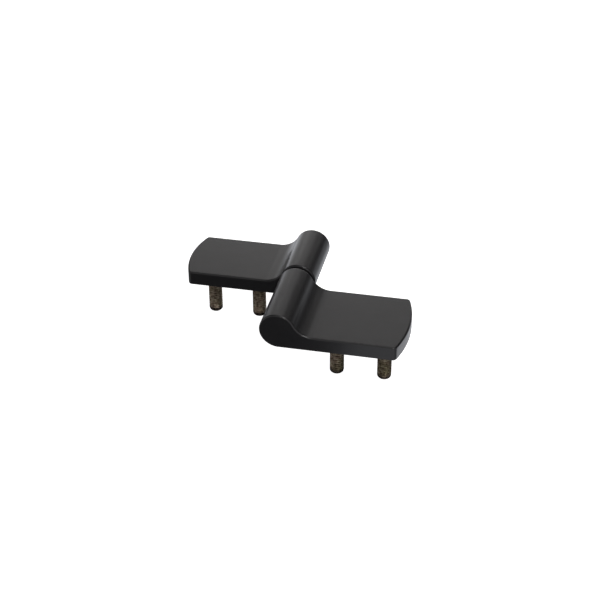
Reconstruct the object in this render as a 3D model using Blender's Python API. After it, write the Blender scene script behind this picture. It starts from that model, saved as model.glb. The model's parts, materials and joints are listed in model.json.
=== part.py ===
"""Lift-off leaf hinge with screw studs: two die-cast leaves, a pin, a bush, a washer and four studs.

Frame: metres, +Z up. The origin is on the mounting plane, midway between the frame leaf's two studs.
+X runs from the knuckle towards the frame leaf's end. +Y runs along the pin, from the frame half to the
door half. The studs point down, into the panels that the hinge joins.
"""

import math

import bmesh
import bpy
from mathutils import Vector

MM = 0.001

# Knuckle and leaves.
KNUCKLE_R = 7.5 * MM
LEAF_THICK = 6.0 * MM
FILLET_R = 9.0 * MM  # hollow curve from the knuckle down to the leaf
LEAF_CORNER_X = 48.0 * MM  # pin axis to the leaf's corners
LEAF_TIP_X = 51.2 * MM  # pin axis to the middle of the leaf's bowed end
FRAME_HALF_W = 37.5 * MM
DOOR_HALF_W = 31.5 * MM
KNUCKLE_GAP = 1.9 * MM
EDGE_R = 0.7 * MM  # rounding of a casting's upper edges
UNDER_EDGE_R = 0.2 * MM  # rounding of the edges round the mounting face
END_CORNER_R = 0.8 * MM  # rounding between a leaf's end and its top
UNDER_CORNER_R = 0.3 * MM  # rounding between a leaf's end and the mounting face
PLAN_CORNER_R = 1.1 * MM  # rounding of a leaf's corners, seen from above

# Studs, M6 on a pitch of 20 mm.
STUD_R = 3.0 * MM
STUD_PITCH = 20.0 * MM
STUD_MID_X = 31.0 * MM  # pin axis to the middle of a leaf's two studs
STUD_LENGTH = 22.0 * MM  # below the mounting plane
STUD_DOME = 1.8 * MM
STUD_EMBED = 4.2 * MM  # pressed into the leaf
STUD_CHAMFER = 0.4 * MM

# Pin, bush and washer.
PIN_R = 3.0 * MM
PIN_CHAMFER = 0.8 * MM
PIN_PRESSED = 29.0 * MM  # length held in the frame half
PIN_FREE = 26.5 * MM  # length that stands out of the frame half
BUSH_R = 4.3 * MM
BUSH_LENGTH = 24.0 * MM
BUSH_INSET = 0.8 * MM  # from the door knuckle's face to the bush
WASHER_R = 5.8 * MM

CLEARANCE = 0.3 * MM
BORE_CHAMFER = 0.5 * MM
CUT_PAST = 1.0 * MM  # how far a cutter runs out of the face that it cuts

# Facets.
ROUND_STEPS = 3  # steps in each rounded edge
END_STEPS = 12  # steps across a leaf's bowed end
KNUCKLE_STEPS = 30
FILLET_STEPS = 8
DOME_STEPS = 4
TURNED_STEPS = 32

# Places in the hinge's own frame.
AXIS_X = -STUD_MID_X
AXIS_Z = KNUCKLE_R
SPLIT_Y = FRAME_HALF_W / 2
DOOR_FACE_Y = SPLIT_Y + KNUCKLE_GAP
DOOR_HALF_Y = DOOR_FACE_Y + DOOR_HALF_W / 2
STUD_OFFSETS = {"inner": STUD_MID_X - STUD_PITCH / 2, "outer": STUD_MID_X + STUD_PITCH / 2}

MATERIALS = {
    "black_powder_coat": ((0.030, 0.029, 0.031), 0.42, 0.0),
    "stud_steel": ((0.085, 0.066, 0.048), 0.40, 0.85),
    "pin_steel": ((0.48, 0.48, 0.47), 0.25, 1.0),
    "bush_plastic": ((0.78, 0.76, 0.70), 0.45, 0.0),
    "washer_plastic": ((0.012, 0.012, 0.013), 0.50, 0.0),
}


def clear_scene():
    """Removes every object that is already in the file."""
    for obj in list(bpy.data.objects):
        bpy.data.objects.remove(obj)


def make_material(name):
    """A Principled material from the table above."""
    colour, roughness, metallic = MATERIALS[name]
    material = bpy.data.materials.new(name)
    material.use_nodes = True
    shader = material.node_tree.nodes["Principled BSDF"]
    shader.inputs["Base Color"].default_value = (*colour, 1.0)
    shader.inputs["Roughness"].default_value = roughness
    shader.inputs["Metallic"].default_value = metallic
    return material


def add_object(name, bm, material=None, parent=None):
    """Turns a bmesh into a named object, shaded smooth apart from its sharp edges."""
    bmesh.ops.recalc_face_normals(bm, faces=bm.faces)
    mesh = bpy.data.meshes.new(name)
    bm.to_mesh(mesh)
    bm.free()
    mesh.shade_smooth()
    mesh.set_sharp_from_angle(angle=math.radians(35))
    if material:
        mesh.materials.append(material)
    obj = bpy.data.objects.new(name, mesh)
    bpy.context.scene.collection.objects.link(obj)
    obj.parent = parent
    return obj


def add_empty(name, location, turn=0.0, parent=None):
    """An empty that holds a group of pieces, turned about Z."""
    empty = bpy.data.objects.new(name, None)
    bpy.context.scene.collection.objects.link(empty)
    empty.parent = parent
    empty.location = location
    empty.rotation_euler.z = turn
    return empty


def arc(centre, radius, start, end, steps):
    """Points on an arc from angle start to angle end, both included."""
    angles = [start + (end - start) * i / steps for i in range(steps + 1)]
    return [(centre[0] + radius * math.cos(a), centre[1] + radius * math.sin(a)) for a in angles]


def half_profile(end_x, inset, under):
    """The side view of one half, round the pin axis at (0, 0), moved in by inset, or by under below."""
    top = LEAF_THICK - KNUCKLE_R
    fillet_z = top + FILLET_R
    fillet_x = math.sqrt((KNUCKLE_R + FILLET_R) ** 2 - fillet_z**2)
    tangent = math.atan2(fillet_z, fillet_x)
    low_r = UNDER_CORNER_R - under
    low = (end_x - inset - low_r, UNDER_CORNER_R - KNUCKLE_R)
    high = (end_x - END_CORNER_R, top - END_CORNER_R)
    quarter = math.pi / 2
    knuckle = []
    for i in range(KNUCKLE_STEPS + 1):
        angle = tangent + (3 * quarter - tangent) * i / KNUCKLE_STEPS
        below = max(0.0, 2 * angle / quarter - 5)  # 0 down to 225 degrees, and 1 at the bottom
        radius = KNUCKLE_R - inset + (inset - under) * below
        knuckle.append((radius * math.cos(angle), radius * math.sin(angle)))
    lower_corner = arc(low, low_r, -quarter, 0, ROUND_STEPS)
    upper_corner = arc(high, END_CORNER_R - inset, 0, quarter, ROUND_STEPS)
    fillet = arc((fillet_x, fillet_z), FILLET_R + inset, -quarter, tangent - math.pi, FILLET_STEPS)
    return knuckle + lower_corner + upper_corner + fillet[:-1]


def rounding(radius, near):
    """How far a rounded edge falls back at a distance near from the face beside it."""
    return radius - math.sqrt(radius**2 - max(radius - near, 0) ** 2)


def half_slices(width):
    """Places along one half's width, each with the leaf's end and the upper and lower insets there."""
    edge = [PLAN_CORNER_R * (1 - math.cos(math.pi / 2 * i / ROUND_STEPS)) for i in range(ROUND_STEPS)]
    middle = [PLAN_CORNER_R + (width - 2 * PLAN_CORNER_R) * i / END_STEPS for i in range(END_STEPS + 1)]
    depths = edge + middle + [width - e for e in reversed(edge)]
    bow = LEAF_TIP_X - LEAF_CORNER_X
    bow_r = ((width / 2) ** 2 + bow**2) / (2 * bow)
    slices = []
    for depth in depths:
        near = min(depth, width - depth)
        y = depth - width / 2
        inset, under, corner = (rounding(r, near) for r in (EDGE_R, UNDER_EDGE_R, PLAN_CORNER_R))
        end_x = LEAF_TIP_X - bow_r + math.sqrt(bow_r**2 - y**2) - max(corner - inset, 0)
        slices.append((y, end_x, inset, under))
    return slices


def half_casting(width):
    """One half of the hinge as a closed mesh: knuckle, hollow curve and leaf, its edges rounded."""
    bm = bmesh.new()
    loops = []
    for y, end_x, inset, under in half_slices(width):
        loops.append([bm.verts.new((x, y, z)) for x, z in half_profile(end_x, inset, under)])
    for here, there in zip(loops, loops[1:]):
        for i in range(len(here)):
            j = (i + 1) % len(here)
            bm.faces.new((here[i], here[j], there[j], there[i]))
    bm.faces.new(loops[0])
    bm.faces.new(loops[-1])
    return bm


def turned(profile, axis, steps=TURNED_STEPS):
    """A turned mesh from (radius, height) points, its heights along axis. A ring's profile is closed."""
    bm = bmesh.new()
    along = Vector(axis)
    side = Vector((1, 0, 0))
    verts = [bm.verts.new(side * r + along * h) for r, h in profile]
    edges = [bm.edges.new(pair) for pair in zip(verts, verts[1:])]
    if profile[0][0] > 0:
        edges.append(bm.edges.new((verts[-1], verts[0])))
    bmesh.ops.spin(
        bm,
        geom=verts + edges,
        cent=(0, 0, 0),
        axis=along,
        angle=2 * math.pi,
        steps=steps,
        use_merge=True,
    )
    bmesh.ops.remove_doubles(bm, verts=bm.verts, dist=MM / 1000)
    return bm


def rod_profile(radius, low, high, chamfer):
    """A round bar from height low to height high, both ends chamfered."""
    return [
        (0, low),
        (radius - chamfer, low),
        (radius, low + chamfer),
        (radius, high - chamfer),
        (radius - chamfer, high),
        (0, high),
    ]


def hole_profile(radius, bottom, face):
    """A blind hole's cutter, with a chamfer at the face, and running out past it."""
    wide = radius + BORE_CHAMFER + CUT_PAST
    return [
        (0, bottom),
        (radius, bottom),
        (radius, face - BORE_CHAMFER),
        (wide, face + CUT_PAST),
        (0, face + CUT_PAST),
    ]


def stud_profile():
    """A stud from its domed tip up to its pressed end, with height 0 on the mounting plane."""
    dome = []
    for i in range(DOME_STEPS + 1):
        angle = math.pi / 2 * i / DOME_STEPS
        dome.append((STUD_R * math.sin(angle), STUD_DOME * (1 - math.cos(angle)) - STUD_LENGTH))
    chamfer = [(STUD_R, STUD_EMBED - STUD_CHAMFER), (STUD_R - STUD_CHAMFER, STUD_EMBED)]
    return dome + chamfer + [(0, STUD_EMBED)]


def tube_profile(inner, outer, low, high):
    """The closed section of a plain tube or washer."""
    return [(inner, low), (outer, low), (outer, high), (inner, high)]


def cut(target, name, bm, location):
    """Takes a hidden cutter out of target."""
    cutter = add_object(name, bm, parent=target.parent)
    cutter.location = location
    cutter.hide_render = True
    cutter.display_type = "WIRE"
    boolean = target.modifiers.new(name, "BOOLEAN")
    boolean.operation = "DIFFERENCE"
    boolean.solver = "EXACT"
    boolean.object = cutter


def make_half(side, width, holder, bore_r, bore_depth, coat, stud_metal):
    """A leaf with its knuckle, bored from its local +Y face, and the two studs pressed into it."""
    leaf = add_object(f"{side}_leaf", half_casting(width), coat, holder)
    face = width / 2
    bore = turned(hole_profile(bore_r, face - bore_depth, face), (0, 1, 0))
    cut(leaf, f"{side}_bore_cutter", bore, (0, 0, 0))
    for place, x in STUD_OFFSETS.items():
        hole = turned(hole_profile(STUD_R + CLEARANCE, -STUD_EMBED - CLEARANCE, 0), (0, 0, -1))
        cut(leaf, f"{side}_stud_cutter_{place}", hole, (x, 0, -KNUCKLE_R))
        stud = add_object(f"{side}_stud_{place}", turned(stud_profile(), (0, 0, 1)), stud_metal, holder)
        stud.location = (x, 0, -KNUCKLE_R)
    return leaf


def make_pin(material, axis):
    """The pin: its lower part is pressed into the frame half, and the door half turns on the rest."""
    profile = rod_profile(PIN_R, -PIN_PRESSED, PIN_FREE, PIN_CHAMFER)
    pin = add_object("hinge_pin", turned(profile, (0, 1, 0)), material, axis)
    pin.location.y = SPLIT_Y


def make_washer(material, axis):
    """The ring that keeps the two knuckles apart and carries the door's weight."""
    profile = tube_profile(PIN_R + CLEARANCE, WASHER_R, CLEARANCE, KNUCKLE_GAP - CLEARANCE)
    washer = add_object("thrust_washer", turned(profile, (0, 1, 0)), material, axis)
    washer.location.y = SPLIT_Y


def make_bush(material, axis):
    """The sleeve in the door half that turns on the pin."""
    profile = tube_profile(PIN_R + CLEARANCE, BUSH_R, BUSH_INSET, BUSH_INSET + BUSH_LENGTH)
    bush = add_object("bearing_bush", turned(profile, (0, 1, 0)), material, axis)
    bush.location.y = DOOR_FACE_Y


def main():
    clear_scene()
    materials = {name: make_material(name) for name in MATERIALS}
    axis = add_empty("pin_axis", (AXIS_X, 0, AXIS_Z))
    frame_side = add_empty("frame_side", (0, 0, 0), parent=axis)
    door_side = add_empty("door_side", (0, DOOR_HALF_Y, 0), turn=math.pi, parent=axis)
    coat = materials["black_powder_coat"]
    stud_metal = materials["stud_steel"]
    pin_bore = PIN_R + CLEARANCE
    bush_bore = BUSH_R + CLEARANCE
    pin_depth = PIN_PRESSED + CLEARANCE
    bush_depth = BUSH_INSET + BUSH_LENGTH + CLEARANCE + BUSH_INSET
    make_half("frame", FRAME_HALF_W, frame_side, pin_bore, pin_depth, coat, stud_metal)
    make_half("door", DOOR_HALF_W, door_side, bush_bore, bush_depth, coat, stud_metal)
    make_pin(materials["pin_steel"], axis)
    make_washer(materials["washer_plastic"], axis)
    make_bush(materials["bush_plastic"], axis)


main()
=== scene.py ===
"""Looks of the lift-off leaf hinge: fine meshes, materials, floor, soft studio light and camera.

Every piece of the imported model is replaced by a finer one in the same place. Sizes are in metres. Each
half of the hinge is modelled round the pin axis, with its leaf towards local +X and its bore opening
towards local +Y, and the door half is turned round to face the frame half.
"""

import json
import math

import bmesh
import bpy
from mathutils import Matrix, Vector


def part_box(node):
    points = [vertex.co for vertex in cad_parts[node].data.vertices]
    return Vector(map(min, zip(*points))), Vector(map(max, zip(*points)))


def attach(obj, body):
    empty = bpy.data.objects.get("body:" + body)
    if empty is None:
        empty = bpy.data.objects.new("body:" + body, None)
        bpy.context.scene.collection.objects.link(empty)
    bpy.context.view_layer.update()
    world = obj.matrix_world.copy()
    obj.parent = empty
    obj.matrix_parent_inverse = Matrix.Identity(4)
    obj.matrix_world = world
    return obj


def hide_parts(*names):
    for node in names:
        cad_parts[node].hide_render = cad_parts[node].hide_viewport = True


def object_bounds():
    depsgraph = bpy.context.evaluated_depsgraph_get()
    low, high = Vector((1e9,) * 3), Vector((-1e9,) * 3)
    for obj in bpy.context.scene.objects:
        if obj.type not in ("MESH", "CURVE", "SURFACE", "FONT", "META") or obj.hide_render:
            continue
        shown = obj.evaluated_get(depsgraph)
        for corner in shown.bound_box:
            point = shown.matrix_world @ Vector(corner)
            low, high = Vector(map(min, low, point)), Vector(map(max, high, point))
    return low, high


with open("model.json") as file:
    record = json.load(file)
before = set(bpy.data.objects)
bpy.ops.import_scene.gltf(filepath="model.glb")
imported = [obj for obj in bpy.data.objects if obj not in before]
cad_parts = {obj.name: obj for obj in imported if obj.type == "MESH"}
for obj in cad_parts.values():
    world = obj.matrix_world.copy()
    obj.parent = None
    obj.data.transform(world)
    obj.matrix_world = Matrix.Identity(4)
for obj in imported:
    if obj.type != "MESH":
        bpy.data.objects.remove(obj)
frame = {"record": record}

CAD_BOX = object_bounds()
MM = 0.001

# Castings.
KNUCKLE_R = 7.5 * MM
LEAF_THICK = 6.0 * MM
FILLET_R = 9.0 * MM
LEAF_CORNER_X = 48.0 * MM
LEAF_TIP_X = 51.2 * MM
EDGE_R = 0.7 * MM
UNDER_EDGE_R = 0.2 * MM
END_CORNER_R = 0.8 * MM
UNDER_CORNER_R = 0.3 * MM
PLAN_CORNER_R = 1.1 * MM
STUD_OFFSETS = {"inner": 21.0 * MM, "outer": 41.0 * MM}

# Studs.
STUD_R = 3.0 * MM
STUD_LENGTH = 22.0 * MM
STUD_EMBED = 4.2 * MM
STUD_DOME = 1.8 * MM
STUD_PLAIN = 1.2 * MM  # length under the leaf that has no thread
STUD_TIP_PAINTED_SHADE = 2.0 * MM  # height of the painted shade round the tip
STUD_TIP_PAINTED_SHADE_FADE = 1.2 * MM  # height above it over which the painted shade fades out
THREAD_PITCH = 1.0 * MM
THREAD_DEPTH = 0.45 * MM
THREAD_RUNOUT = 1.0 * MM
THREAD_SHARPNESS = 1.6  # above 1 widens the crests and narrows the grooves
SEAT_R = 4.2 * MM  # shallow round recess in the leaf round each stud
SEAT_DEPTH = 0.35 * MM

# Pin, bush and washer.
PIN_R = 3.0 * MM
PIN_PRESSED = 29.0 * MM
PIN_FREE = 26.5 * MM
BUSH_R = 4.3 * MM
BUSH_LENGTH = 24.0 * MM
BUSH_INSET = 0.8 * MM
BUSH_END_GAP = 1.1 * MM  # from the bush's inner end to the bottom of its bore
WASHER_R = 5.8 * MM
PIN_CHAMFER = 0.8 * MM
PIN_EDGE_R = 0.3 * MM
BUSH_EDGE_R = 0.3 * MM
WASHER_EDGE_R = 0.2 * MM
SLIP_FIT = 0.05 * MM
BORE_CHAMFER = 0.5 * MM
CUT_PAST = 1.0 * MM  # how far a cutter runs out of the face that it cuts
MERGE_WITHIN = 0.001 * MM

# Steps of the fine meshes.
ROUND_STEPS = 8
END_FACE_STEPS = 4
SMALL_ROUND_STEPS = 4
TUBE_ROUND_STEPS = 5
DOME_STEPS = 10
END_STEPS = 48
KNUCKLE_STEPS = 120
FILLET_STEPS = 36
FLAT_STEP = 3.0 * MM
TURNED_STEPS = 96
THREAD_TURN_STEPS = 60
THREAD_STEPS_PER_PITCH = 12
SHARP_ANGLE = math.radians(40)

# Camera, given round the point where the pin axis crosses the frame knuckle's face, on the mounting plane.
CAMERA_AZIMUTH = math.radians(12.66)
CAMERA_ELEVATION = math.radians(32.2)
CAMERA_ROLL = math.radians(-0.44)
CAMERA_DISTANCE = 604.6 * MM
CAMERA_LENS = 85.6
CAMERA_SHIFT = (0.0048, -0.0028)

FLOOR_HALF_SIDE = 8.0

# Light. Azimuth 0 is in front of the hinge (-Y) and 90 is to its right. Radiance 1 is as bright as white
# paper. The boxes below the horizon stand for the white table that the hinge is photographed over.
WORLD_GREY = 0.02
SOFTBOX_DISTANCE = 900 * MM
SPOT_BOX = 110 * MM
NARROW_BOX = 320 * MM
WIDE_BOX = 585 * MM
NEUTRAL = (1.0, 0.985, 0.98)
COOL = (0.93, 0.95, 1.0)
SOFTBOXES = [
    ("key_spot", 30, 48, SPOT_BOX, 75.0, NEUTRAL),
    ("top", -60, 80, WIDE_BOX, 0.6, NEUTRAL),
    ("behind_top", 145, 68, WIDE_BOX, 1.1, NEUTRAL),
    ("behind_high", 190, 30, WIDE_BOX, 0.5, NEUTRAL),
    ("behind_left", 210, 10, NARROW_BOX, 0.7, NEUTRAL),
    ("behind", 190, 10, NARROW_BOX, 2.3, NEUTRAL),
    ("behind_right", 170, 10, NARROW_BOX, 1.4, NEUTRAL),
    ("table_behind_left", 210, -10, NARROW_BOX, 1.4, COOL),
    ("table_behind_right", 150, -10, NARROW_BOX, 0.5, COOL),
    ("table_near_behind", 170, -30, NARROW_BOX, 1.0, COOL),
    ("table_near_right", 150, -30, NARROW_BOX, 0.8, COOL),
    ("table_far_right", 130, -30, NARROW_BOX, 1.4, COOL),
    ("table_left", -80, -25, WIDE_BOX, 0.5, COOL),
    ("table_front_right", 75, -25, WIDE_BOX, 0.4, COOL),
    ("table_under", 180, -75, WIDE_BOX, 0.2, COOL),
]
FRONT_AZIMUTHS = (-90, -50, -10, 30, 70)
FRONT_ELEVATION = 15
FRONT_RADIANCE = 0.55
NEAR_CARD_PLACE = Vector((31 * MM, -70 * MM, -33 * MM))
NEAR_CARD_AIM = Vector((31 * MM, -19 * MM, 0))
NEAR_CARD_SIDE = 90 * MM
NEAR_CARD_RADIANCE = 0.7

AXIS = Vector(frame["record"]["behaviour"]["joints"][0]["pos_m"])
FRAME_LOW, FRAME_HIGH = (Vector(corner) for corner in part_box("frame_leaf"))
DOOR_LOW, DOOR_HIGH = (Vector(corner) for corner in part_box("door_leaf"))


# Materials.


def new_material(name):
    """A material with its tree, its Principled shader and a texture of place in metres."""
    material = bpy.data.materials.new(name)
    material.use_nodes = True
    tree = material.node_tree
    shader = tree.nodes["Principled BSDF"]
    place = tree.nodes.new("ShaderNodeTexCoord").outputs["Object"]
    return material, tree, shader, place


def noise(tree, place, size, detail=2.0, stretch=None):
    """Noise whose features are about size metres across, stretched along an axis if asked."""
    if stretch:
        mapping = tree.nodes.new("ShaderNodeMapping")
        mapping.inputs["Scale"].default_value = stretch
        tree.links.new(place, mapping.inputs["Vector"])
        place = mapping.outputs["Vector"]
    node = tree.nodes.new("ShaderNodeTexNoise")
    node.inputs["Scale"].default_value = 1 / size
    node.inputs["Detail"].default_value = detail
    tree.links.new(place, node.inputs["Vector"])
    return node.outputs["Fac"]


def ramp(tree, value, stops):
    """Maps a value to colours or greys, from (position, colour) stops."""
    node = tree.nodes.new("ShaderNodeValToRGB")
    elements = node.color_ramp.elements
    while len(elements) < len(stops):
        elements.new(0.5)
    for element, (position, colour) in zip(elements, stops):
        element.position = position
        element.color = (*colour, 1.0)
    tree.links.new(value, node.inputs["Fac"])
    return node.outputs["Color"]


def spread(tree, value, low, high, span=(0.3, 0.7)):
    """Maps the span of a value, by default a noise's usual one, to low..high."""
    node = tree.nodes.new("ShaderNodeMapRange")
    node.inputs["From Min"].default_value = span[0]
    node.inputs["From Max"].default_value = span[1]
    node.inputs["To Min"].default_value = low
    node.inputs["To Max"].default_value = high
    tree.links.new(value, node.inputs["Value"])
    return node.outputs["Result"]


def blend_colours(tree, factor, first, second):
    """Goes from the first colour to the second as factor goes from 0 to 1."""
    node = tree.nodes.new("ShaderNodeMix")
    node.data_type = "RGBA"
    factor_in, first_in, second_in = (s for s in node.inputs if s.enabled)
    tree.links.new(factor, factor_in)
    tree.links.new(first, first_in)
    tree.links.new(second, second_in)
    return next(s for s in node.outputs if s.enabled)


def bump(tree, heights, shader):
    """Stacks bumps of (height socket, depth in metres) and gives their normal to the shader."""
    normal = None
    for height, depth in heights:
        node = tree.nodes.new("ShaderNodeBump")
        node.inputs["Strength"].default_value = 1.0
        node.inputs["Distance"].default_value = depth
        tree.links.new(height, node.inputs["Height"])
        if normal:
            tree.links.new(normal, node.inputs["Normal"])
        normal = node.outputs["Normal"]
    tree.links.new(normal, shader.inputs["Normal"])


def powder_coat():
    """Black satin powder coat: a faint orange peel and fine grain."""
    material, tree, shader, place = new_material("satin_powder_coat")
    cloud = noise(tree, place, 9 * MM, 3.0)
    colour = ramp(tree, cloud, [(0.3, (0.0135, 0.0132, 0.0142)), (0.7, (0.0175, 0.0170, 0.0180))])
    tree.links.new(colour, shader.inputs["Base Color"])
    grain = noise(tree, place, 0.25 * MM, 2.0)
    tree.links.new(spread(tree, grain, 0.28, 0.34), shader.inputs["Roughness"])
    peel = noise(tree, place, 1.1 * MM, 1.0)
    bump(tree, [(peel, 0.010 * MM), (grain, 0.002 * MM)], shader)
    return material


def stud_steel():
    """Passivated steel, dull bronze with brown and olive patches, with painted shade darkening it round
    the tip.
    """
    material, tree, shader, place = new_material("bronzed_stud_steel")
    patches = noise(tree, place, 1.2 * MM, 4.0)
    browns = [(0.34, (0.15, 0.105, 0.08)), (0.5, (0.34, 0.265, 0.205)), (0.64, (0.54, 0.47, 0.385))]
    olives = [(0.34, (0.07, 0.057, 0.032)), (0.5, (0.18, 0.155, 0.09)), (0.64, (0.32, 0.285, 0.19))]
    brown = ramp(tree, patches, browns)
    olive = ramp(tree, patches, olives)
    tint = noise(tree, place, 5 * MM, 1.0)
    colour = blend_colours(tree, spread(tree, tint, 0.0, 1.0), brown, olive)
    # Painted shade: the colour goes nearly black at the tip and fades back to the steel's own colour above
    # it.
    painted_tip_shade = ramp(tree, patches, [(0.4, (0.013, 0.010, 0.008)), (0.66, (0.09, 0.072, 0.058))])
    parts = tree.nodes.new("ShaderNodeSeparateXYZ")
    tree.links.new(place, parts.inputs["Vector"])
    painted_shade_top = STUD_TIP_PAINTED_SHADE - STUD_LENGTH
    clear_of_painted_shade = spread(tree, parts.outputs["Z"], 0.0, 1.0, (painted_shade_top, painted_shade_top + STUD_TIP_PAINTED_SHADE_FADE))
    colour = blend_colours(tree, clear_of_painted_shade, painted_tip_shade, colour)
    tree.links.new(colour, shader.inputs["Base Color"])
    shader.inputs["Metallic"].default_value = 0.85
    fine = noise(tree, place, 0.4 * MM, 3.0)
    tree.links.new(spread(tree, fine, 0.35, 0.6), shader.inputs["Roughness"])
    bump(tree, [(fine, 0.02 * MM)], shader)
    return material


def pin_steel():
    """Ground steel with fine rings round the pin."""
    material, tree, shader, place = new_material("ground_pin_steel")
    rings = noise(tree, place, 0.12 * MM, 2.0, stretch=(0.02, 1.0, 0.02))
    cloud = noise(tree, place, 4 * MM, 2.0)
    colour = ramp(tree, cloud, [(0.3, (0.50, 0.49, 0.47)), (0.7, (0.60, 0.595, 0.58))])
    tree.links.new(colour, shader.inputs["Base Color"])
    shader.inputs["Metallic"].default_value = 1.0
    tree.links.new(spread(tree, rings, 0.18, 0.32), shader.inputs["Roughness"])
    bump(tree, [(rings, 0.002 * MM)], shader)
    return material


def bush_plastic():
    """Natural acetal, slightly mottled."""
    material, tree, shader, place = new_material("natural_acetal")
    cloud = noise(tree, place, 3 * MM, 2.0)
    colour = ramp(tree, cloud, [(0.3, (0.70, 0.67, 0.60)), (0.7, (0.78, 0.76, 0.70))])
    tree.links.new(colour, shader.inputs["Base Color"])
    fine = noise(tree, place, 0.3 * MM, 2.0)
    tree.links.new(spread(tree, fine, 0.38, 0.5), shader.inputs["Roughness"])
    bump(tree, [(fine, 0.004 * MM)], shader)
    return material


def washer_plastic():
    """Black nylon, a little chalky."""
    material, tree, shader, place = new_material("black_nylon")
    cloud = noise(tree, place, 1.5 * MM, 3.0)
    colour = ramp(tree, cloud, [(0.3, (0.009, 0.009, 0.010)), (0.7, (0.016, 0.016, 0.017))])
    tree.links.new(colour, shader.inputs["Base Color"])
    tree.links.new(spread(tree, cloud, 0.45, 0.6), shader.inputs["Roughness"])
    bump(tree, [(cloud, 0.01 * MM)], shader)
    return material


# Meshes.


def arc(centre, radius, start, end, steps):
    """Points on an arc from angle start to angle end, both included."""
    angles = [start + (end - start) * i / steps for i in range(steps + 1)]
    return [(centre[0] + radius * math.cos(a), centre[1] + radius * math.sin(a)) for a in angles]


def run(start, end, steps):
    """Points between two others, neither included."""
    return [(start[0] + (end[0] - start[0]) * i / steps, start[1] + (end[1] - start[1]) * i / steps)
            for i in range(1, steps)]


def half_profile(end_x, inset, under):
    """The side view of one half, round the pin axis at (0, 0), moved in by inset, or by under below."""
    top = LEAF_THICK - KNUCKLE_R
    fillet_z = top + FILLET_R
    fillet_x = math.sqrt((KNUCKLE_R + FILLET_R) ** 2 - fillet_z**2)
    tangent = math.atan2(fillet_z, fillet_x)
    low_r = UNDER_CORNER_R - under
    low = (end_x - inset - low_r, UNDER_CORNER_R - KNUCKLE_R)
    high = (end_x - END_CORNER_R, top - END_CORNER_R)
    quarter = math.pi / 2
    knuckle = []
    for i in range(KNUCKLE_STEPS + 1):
        angle = tangent + (3 * quarter - tangent) * i / KNUCKLE_STEPS
        below = max(0.0, 2 * angle / quarter - 5)  # 0 down to 225 degrees, and 1 at the bottom
        radius = KNUCKLE_R - inset + (inset - under) * below
        knuckle.append((radius * math.cos(angle), radius * math.sin(angle)))
    lower_corner = arc(low, low_r, -quarter, 0, ROUND_STEPS)
    upper_corner = arc(high, END_CORNER_R - inset, 0, quarter, ROUND_STEPS)
    fillet = arc((fillet_x, fillet_z), FILLET_R + inset, -quarter, tangent - math.pi, FILLET_STEPS)
    flat_steps = round(LEAF_CORNER_X / FLAT_STEP)
    underside = run(knuckle[-1], lower_corner[0], flat_steps)
    end = run(lower_corner[-1], upper_corner[0], END_FACE_STEPS)
    top_side = run(upper_corner[-1], fillet[0], flat_steps)
    return knuckle + underside + lower_corner + end + upper_corner + top_side + fillet[:-1]


def rounding(radius, near):
    """How far a rounded edge falls back at a distance near from the face beside it."""
    return radius - math.sqrt(radius**2 - max(radius - near, 0) ** 2)


def half_slices(width):
    """Places along one half's width, each with the leaf's end and the upper and lower insets there."""
    edge = [PLAN_CORNER_R * (1 - math.cos(math.pi / 2 * i / ROUND_STEPS)) for i in range(ROUND_STEPS)]
    middle = [PLAN_CORNER_R + (width - 2 * PLAN_CORNER_R) * i / END_STEPS for i in range(END_STEPS + 1)]
    depths = edge + middle + [width - e for e in reversed(edge)]
    bow = LEAF_TIP_X - LEAF_CORNER_X
    bow_r = ((width / 2) ** 2 + bow**2) / (2 * bow)
    slices = []
    for depth in depths:
        near = min(depth, width - depth)
        y = depth - width / 2
        inset, under, corner = (rounding(r, near) for r in (EDGE_R, UNDER_EDGE_R, PLAN_CORNER_R))
        end_x = LEAF_TIP_X - bow_r + math.sqrt(bow_r**2 - y**2) - max(corner - inset, 0)
        slices.append((y, end_x, inset, under))
    return slices


def half_casting(width):
    """One half of the hinge as a closed mesh: knuckle, hollow curve and leaf, its edges rounded."""
    bm = bmesh.new()
    loops = []
    for y, end_x, inset, under in half_slices(width):
        loops.append([bm.verts.new((x, y, z)) for x, z in half_profile(end_x, inset, under)])
    for here, there in zip(loops, loops[1:]):
        for i in range(len(here)):
            j = (i + 1) % len(here)
            bm.faces.new((here[i], here[j], there[j], there[i]))
    bm.faces.new(loops[0])
    bm.faces.new(loops[-1])
    return bm


def turned(profile, axis, steps=TURNED_STEPS):
    """A turned mesh from (radius, height) points, its heights along axis. A ring's profile is closed."""
    bm = bmesh.new()
    along = Vector(axis)
    side = Vector((1, 0, 0))
    verts = [bm.verts.new(side * r + along * h) for r, h in profile]
    edges = [bm.edges.new(pair) for pair in zip(verts, verts[1:])]
    if profile[0][0] > 0:
        edges.append(bm.edges.new((verts[-1], verts[0])))
    bmesh.ops.spin(
        bm,
        geom=verts + edges,
        cent=(0, 0, 0),
        axis=along,
        angle=2 * math.pi,
        steps=steps,
        use_merge=True,
    )
    bmesh.ops.remove_doubles(bm, verts=bm.verts, dist=MERGE_WITHIN)
    return bm


def rounded_rod(radius, low, high, chamfer, round_r):
    """A round bar's profile from low to high, each end with a chamfer whose edges are rounded."""
    eighth = math.pi / 4
    bottom = arc((radius - chamfer, low + round_r), round_r, -2 * eighth, -eighth, SMALL_ROUND_STEPS)
    lower = arc((radius - round_r, low + chamfer), round_r, -eighth, 0, SMALL_ROUND_STEPS)
    half = bottom + lower
    middle = (low + high) / 2
    return [(0, low)] + half + [(r, 2 * middle - h) for r, h in reversed(half)] + [(0, high)]


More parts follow.
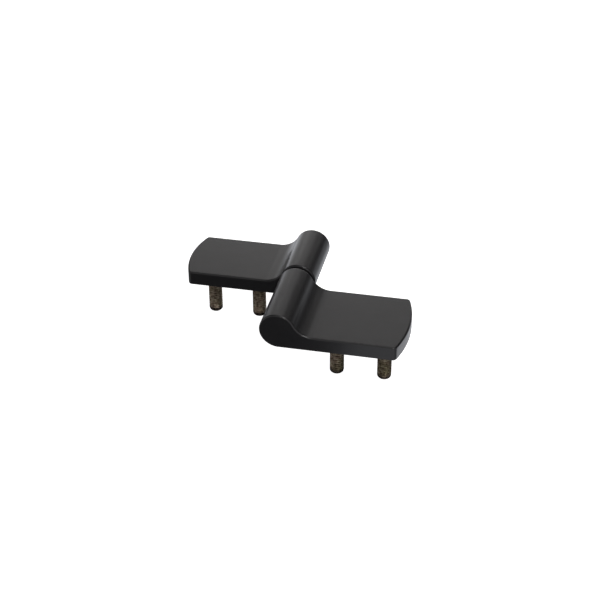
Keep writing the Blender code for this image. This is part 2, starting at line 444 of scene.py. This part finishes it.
def rounded_tube(inner, outer, low, high, round_r):
    """A tube's closed section with its four edges rounded."""
    quarter = math.pi / 2
    corners = [(inner, low, 2), (outer, low, 3), (outer, high, 0), (inner, high, 1)]
    points = []
    for r, h, turn in corners:
        centre = (r + round_r * (1 if r == inner else -1), h + round_r * (1 if h == low else -1))
        points += arc(centre, round_r, turn * quarter, (turn + 1) * quarter, TUBE_ROUND_STEPS)
    return points


def hole_profile(radius, bottom, face, chamfer):
    """A blind hole's cutter, with a chamfer at the face, and running out past it."""
    wide = radius + chamfer + CUT_PAST
    return [
        (0, bottom),
        (radius, bottom),
        (radius, face - chamfer),
        (wide, face + CUT_PAST),
        (0, face + CUT_PAST),
    ]


def thread_radius(depth, angle):
    """The stud's radius at a depth under the leaf and an angle, with a rounded thread and a domed tip."""
    crest = 0.5 + 0.5 * math.cos(2 * math.pi * (depth / THREAD_PITCH - angle / (2 * math.pi)))
    groove = THREAD_DEPTH * (1 - crest) ** THREAD_SHARPNESS
    fade = min(1.0, max(0.0, (depth - STUD_PLAIN) / THREAD_RUNOUT))
    tip = (depth - STUD_LENGTH + STUD_DOME) / STUD_DOME
    dome = STUD_R * math.sqrt(max(0.0, 1 - max(0.0, tip) ** 2))
    return min(STUD_R - groove * fade, dome)


def threaded_stud():
    """A stud along local Z, with height 0 on the mounting plane and the leaf above it."""
    bm = bmesh.new()
    step = THREAD_PITCH / THREAD_STEPS_PER_PITCH
    count = round((STUD_LENGTH + STUD_EMBED) / step)
    depths = [-STUD_EMBED + step * i for i in range(count)]
    dome_start = STUD_LENGTH - STUD_DOME / 3
    depths = [d for d in depths if d < dome_start - step / 2]
    depths += [
        dome_start + (STUD_LENGTH - dome_start) * math.sin(math.pi / 2 * i / DOME_STEPS)
        for i in range(DOME_STEPS)
    ]
    turns = [2 * math.pi * i / THREAD_TURN_STEPS for i in range(THREAD_TURN_STEPS)]
    rings = []
    for depth in depths:
        ring = []
        for angle in turns:
            radius = thread_radius(depth, angle)
            ring.append(bm.verts.new((radius * math.cos(angle), radius * math.sin(angle), -depth)))
        rings.append(ring)
    for here, there in zip(rings, rings[1:]):
        for i in range(THREAD_TURN_STEPS):
            j = (i + 1) % THREAD_TURN_STEPS
            bm.faces.new((here[i], here[j], there[j], there[i]))
    bm.faces.new(rings[0])
    tip = bm.verts.new((0, 0, -STUD_LENGTH))
    for i in range(THREAD_TURN_STEPS):
        bm.faces.new((rings[-1][i], rings[-1][(i + 1) % THREAD_TURN_STEPS], tip))
    return bm


def add_piece(name, bm, place, material=None):
    """Turns a bmesh into a named object, its place written into its mesh."""
    bmesh.ops.recalc_face_normals(bm, faces=bm.faces)
    bm.transform(place)
    mesh = bpy.data.meshes.new(name)
    bm.to_mesh(mesh)
    bm.free()
    mesh.shade_smooth()
    mesh.set_sharp_from_angle(angle=SHARP_ANGLE)
    if material:
        mesh.materials.append(material)
    obj = bpy.data.objects.new(name, mesh)
    bpy.context.scene.collection.objects.link(obj)
    return obj


def cut(target, cutters):
    """Takes the cutters' shapes out of target's mesh, closes hairline seams and removes the cutters."""
    for cutter in cutters:
        boolean = target.modifiers.new(cutter.name, "BOOLEAN")
        boolean.operation = "DIFFERENCE"
        boolean.solver = "EXACT"
        boolean.object = cutter
    graph = bpy.context.evaluated_depsgraph_get()
    result = bpy.data.meshes.new_from_object(target.evaluated_get(graph))
    bm = bmesh.new()
    bm.from_mesh(result)
    bmesh.ops.remove_doubles(bm, verts=bm.verts, dist=MERGE_WITHIN)
    bmesh.ops.dissolve_degenerate(bm, edges=bm.edges, dist=MERGE_WITHIN)
    bm.to_mesh(result)
    bm.free()
    target.modifiers.clear()
    target.data = result
    for cutter in cutters:
        bpy.data.objects.remove(cutter)


def even_shading(obj):
    """Lets large flat faces keep their own normal beside small rounded ones."""
    modifier = obj.modifiers.new("even_shading", "WEIGHTED_NORMAL")
    modifier.mode = "FACE_AREA"
    modifier.weight = 50
    modifier.keep_sharp = True


def finish_piece(piece, node):
    """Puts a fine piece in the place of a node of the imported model."""
    body = next(name for name, nodes in frame["record"]["behaviour"]["bodies"].items() if node in nodes)
    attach(piece, body)
    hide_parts(node)


def make_half(side, low, high, turn, bore_r, bore_depth, coat, metal):
    """A leaf with its knuckle and its two studs in their sockets. The bore opens in its local +Y face."""
    width = high.y - low.y
    face = width / 2
    place = Matrix.Translation((AXIS.x, (low.y + high.y) / 2, AXIS.z)) @ Matrix.Rotation(turn, 4, "Z")
    leaf = add_piece(f"{side}_leaf_casting", half_casting(width), place, coat)
    bore = turned(hole_profile(bore_r, face - bore_depth, face, BORE_CHAMFER), (0, 1, 0))
    cutters = [add_piece(f"{side}_bore_cutter", bore, place)]
    socket_depth = STUD_EMBED + SLIP_FIT
    for name, x in STUD_OFFSETS.items():
        seat = Matrix.Translation((x, 0, -KNUCKLE_R))
        recess = turned(hole_profile(SEAT_R, -SEAT_DEPTH, 0, SEAT_DEPTH / 2), (0, 0, -1))
        cutters.append(add_piece(f"{side}_seat_cutter_{name}", recess, place @ seat))
        socket = turned(hole_profile(STUD_R + SLIP_FIT, -socket_depth, -SEAT_DEPTH / 2, 0), (0, 0, -1))
        cutters.append(add_piece(f"{side}_socket_cutter_{name}", socket, place @ seat))
    cut(leaf, cutters)
    even_shading(leaf)
    finish_piece(leaf, f"{side}_leaf")
    for name, x in STUD_OFFSETS.items():
        seat = Matrix.Translation((x, 0, -KNUCKLE_R))
        stud = add_piece(f"{side}_stud_{name}_threaded", threaded_stud(), place @ seat, metal)
        finish_piece(stud, f"{side}_stud_{name}")


def make_pin_parts(pin_metal, bush_material, washer_material):
    """The pin, the bush in the door half and the washer between the knuckles."""
    along = Vector((0, 1, 0))
    split = Matrix.Translation((AXIS.x, FRAME_HIGH.y, AXIS.z))
    door_face = Matrix.Translation((AXIS.x, DOOR_LOW.y, AXIS.z))
    pin = turned(rounded_rod(PIN_R, -PIN_PRESSED, PIN_FREE, PIN_CHAMFER, PIN_EDGE_R), along)
    finish_piece(add_piece("ground_pin", pin, split, pin_metal), "hinge_pin")
    tube = rounded_tube(PIN_R + SLIP_FIT, BUSH_R, BUSH_INSET, BUSH_INSET + BUSH_LENGTH, BUSH_EDGE_R)
    finish_piece(add_piece("acetal_bush", turned(tube, along), door_face, bush_material),
                 "bearing_bush")
    gap = DOOR_LOW.y - FRAME_HIGH.y
    ring = rounded_tube(PIN_R + SLIP_FIT, WASHER_R, SLIP_FIT, gap - SLIP_FIT, WASHER_EDGE_R)
    finish_piece(add_piece("nylon_washer", turned(ring, along), split, washer_material),
                 "thrust_washer")


# Stage.


def make_floor(height):
    """A plain white floor, seen from above only."""
    bm = bmesh.new()
    bmesh.ops.create_grid(bm, x_segments=1, y_segments=1, size=FLOOR_HALF_SIDE)
    mesh = bpy.data.meshes.new("floor")
    bm.to_mesh(mesh)
    bm.free()
    floor = bpy.data.objects.new("floor", mesh)
    bpy.context.scene.collection.objects.link(floor)
    floor.location = (AXIS.x, AXIS.y, height)
    floor.visible_glossy = False
    floor.visible_diffuse = False
    floor.visible_shadow = False
    material = bpy.data.materials.new("floor_white")
    material.use_nodes = True
    tree = material.node_tree
    shader = tree.nodes["Principled BSDF"]
    shader.inputs["Base Color"].default_value = (0.8, 0.8, 0.8, 1.0)
    shader.inputs["Roughness"].default_value = 0.9
    shader.inputs["Emission Color"].default_value = (1.0, 1.0, 1.0, 1.0)
    shader.inputs["Emission Strength"].default_value = 1.0
    clear = tree.nodes.new("ShaderNodeBsdfTransparent")
    mix = tree.nodes.new("ShaderNodeMixShader")
    side = tree.nodes.new("ShaderNodeNewGeometry").outputs["Backfacing"]
    tree.links.new(side, mix.inputs["Fac"])
    tree.links.new(shader.outputs["BSDF"], mix.inputs[1])
    tree.links.new(clear.outputs["BSDF"], mix.inputs[2])
    tree.links.new(mix.outputs["Shader"], tree.nodes["Material Output"].inputs["Surface"])
    mesh.materials.append(material)


def direction(azimuth, elevation):
    """The way from the hinge to a place at an azimuth and elevation, azimuth 0 being the front (-Y)."""
    return Vector((
        math.sin(azimuth) * math.cos(elevation),
        -math.cos(azimuth) * math.cos(elevation),
        math.sin(elevation),
    ))


def make_area_light(name, place, aim, side, radiance, colour):
    """A square light of a given side and radiance, turned from its place to face a point."""
    data = bpy.data.lights.new(name, "AREA")
    data.shape = "SQUARE"
    data.size = side
    data.energy = radiance * math.pi * side**2
    data.color = colour
    light = bpy.data.objects.new(name, data)
    bpy.context.scene.collection.objects.link(light)
    light.location = place
    light.rotation_euler = (place - aim).to_track_quat("Z", "Y").to_euler()
    light.visible_camera = False


def make_lights():
    """The softboxes, an even row of them in front, and a small card close to the near right side."""
    aim = Vector((AXIS.x, AXIS.y, 0))
    front_row = [
        (f"front_{i}", azimuth, FRONT_ELEVATION, WIDE_BOX, FRONT_RADIANCE, NEUTRAL)
        for i, azimuth in enumerate(FRONT_AZIMUTHS)
    ]
    for name, azimuth, elevation, side, radiance, colour in SOFTBOXES + front_row:
        way = direction(math.radians(azimuth), math.radians(elevation))
        make_area_light(name, aim + way * SOFTBOX_DISTANCE, aim, side, radiance, colour)
    make_area_light("near_card", NEAR_CARD_PLACE, NEAR_CARD_AIM, NEAR_CARD_SIDE, NEAR_CARD_RADIANCE, COOL)


def make_world(grey):
    """Dim even light from all round, with a white backdrop for the camera."""
    world = bpy.data.worlds.new("studio")
    bpy.context.scene.world = world
    world.use_nodes = True
    tree = world.node_tree
    dim = tree.nodes["Background"]
    dim.inputs["Color"].default_value = (grey, grey, grey, 1.0)
    white = tree.nodes.new("ShaderNodeBackground")
    white.inputs["Color"].default_value = (1.0, 1.0, 1.0, 1.0)
    seen = tree.nodes.new("ShaderNodeLightPath").outputs["Is Camera Ray"]
    mix = tree.nodes.new("ShaderNodeMixShader")
    tree.links.new(seen, mix.inputs["Fac"])
    tree.links.new(dim.outputs["Background"], mix.inputs[1])
    tree.links.new(white.outputs["Background"], mix.inputs[2])
    tree.links.new(mix.outputs["Shader"], tree.nodes["World Output"].inputs["Surface"])


def make_camera():
    """The camera in front of the hinge, above it and a little to its right."""
    data = bpy.data.cameras.new("camera")
    data.sensor_width = 36.0
    data.lens = CAMERA_LENS
    data.shift_x, data.shift_y = CAMERA_SHIFT
    data.clip_start = 0.01
    camera = bpy.data.objects.new("camera", data)
    bpy.context.scene.collection.objects.link(camera)
    back = direction(CAMERA_AZIMUTH, CAMERA_ELEVATION)
    target = Vector((AXIS.x, FRAME_HIGH.y, 0))
    turn = back.to_track_quat("Z", "Y").to_matrix().to_4x4() @ Matrix.Rotation(CAMERA_ROLL, 4, "Z")
    camera.matrix_world = Matrix.Translation(target + back * CAMERA_DISTANCE) @ turn
    bpy.context.scene.camera = camera


def main():
    """Makes the camera, the hinge's pieces, the floor and the light."""
    make_camera()
    coat = powder_coat()
    metal = stud_steel()
    pin_bore = PIN_R + SLIP_FIT
    bush_bore = BUSH_R + SLIP_FIT
    pin_depth = PIN_PRESSED + SLIP_FIT
    bush_depth = BUSH_INSET + BUSH_LENGTH + BUSH_END_GAP
    make_half("frame", FRAME_LOW, FRAME_HIGH, 0.0, pin_bore, pin_depth, coat, metal)
    make_half("door", DOOR_LOW, DOOR_HIGH, math.pi, bush_bore, bush_depth, coat, metal)
    make_pin_parts(pin_steel(), bush_plastic(), washer_plastic())
    make_floor(CAD_BOX[0].z)
    make_world(WORLD_GREY)
    make_lights()
    bpy.context.scene.view_settings.view_transform = "Standard"


main()
